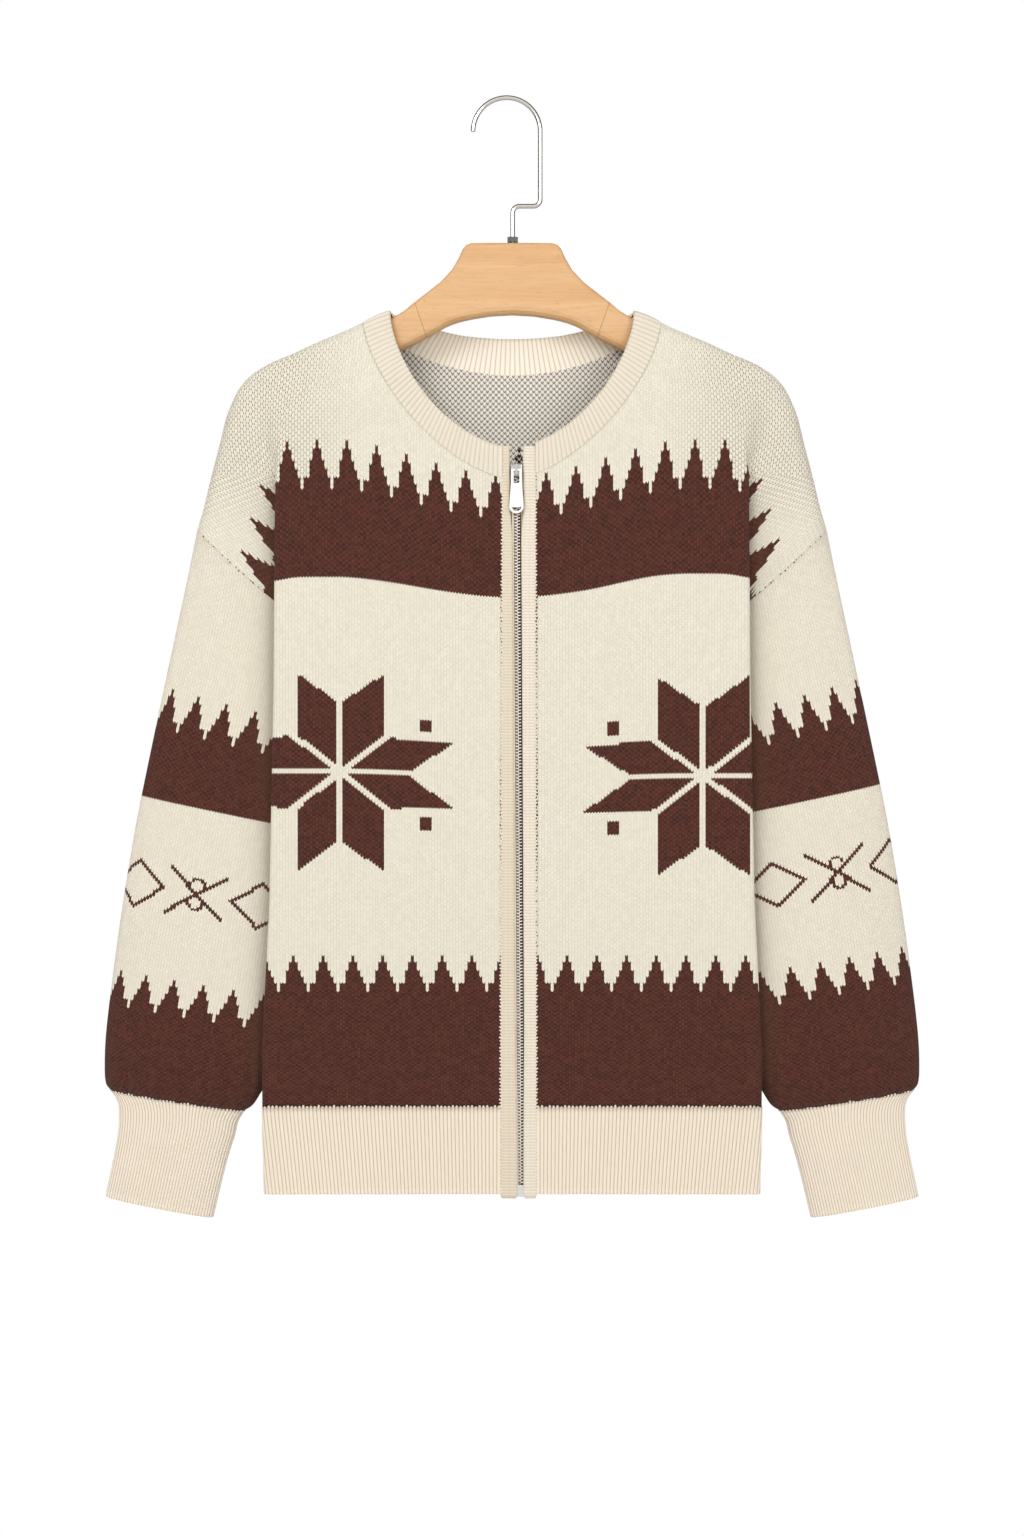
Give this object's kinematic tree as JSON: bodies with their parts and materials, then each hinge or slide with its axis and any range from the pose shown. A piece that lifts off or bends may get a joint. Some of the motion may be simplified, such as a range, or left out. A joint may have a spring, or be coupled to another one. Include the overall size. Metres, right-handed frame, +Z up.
{
  "type": "zip cardigan on a wooden clothes hanger",
  "caption": "Knitted jacquard zip cardigan with drop shoulders, ribbed neckband, cuffs and hem, hanging on a flat wooden hanger with a wire hook.",
  "frame": {"origin": "inner side of the crown of the hanger's hook, where a rail carries it, in the garment's mid plane", "axes": "+X towards the wearer's left, -Y out of the cardigan's front, +Z up"},
  "size_m": [0.6046, 0.0502, 0.8304],
  "materials": {
    "jacquard_knit": "two-colour jacquard knit, matt",
    "rib_knit": "rib knit, matt",
    "zip_tape": "woven tape, matt",
    "beech": "lacquered, satin",
    "steel": "polished"
  },
  "bodies": {
    "cardigan": {"back": "jacquard_knit", "cuff_left": "rib_knit", "cuff_right": "rib_knit", "front_left": "jacquard_knit", "front_right": "jacquard_knit", "hanger_arm_left": "beech", "hanger_arm_right": "beech", "hanger_plate": "beech", "hem_back": "rib_knit", "hem_front_left": "rib_knit", "hem_front_right": "rib_knit", "hook": "steel", "hook_nut": "steel", "neckband": "rib_knit", "placket_left": "rib_knit", "placket_right": "rib_knit", "sleeve_left": "jacquard_knit", "sleeve_right": "jacquard_knit", "slider": "steel", "zip_box": "steel", "zip_chain": "steel", "zip_tape_left": "zip_tape", "zip_tape_right": "zip_tape"},
    "pull": {"pull_tab": "steel"}
  },
  "joints": [
    {"name": "pull_tab_hinge", "type": "hinge", "parent": "cardigan", "child": "pull", "pos_m": [0.00326, -0.02475, -0.2776], "axis": [-1, 0, 0], "range_deg": [0, 150]}
  ]
}
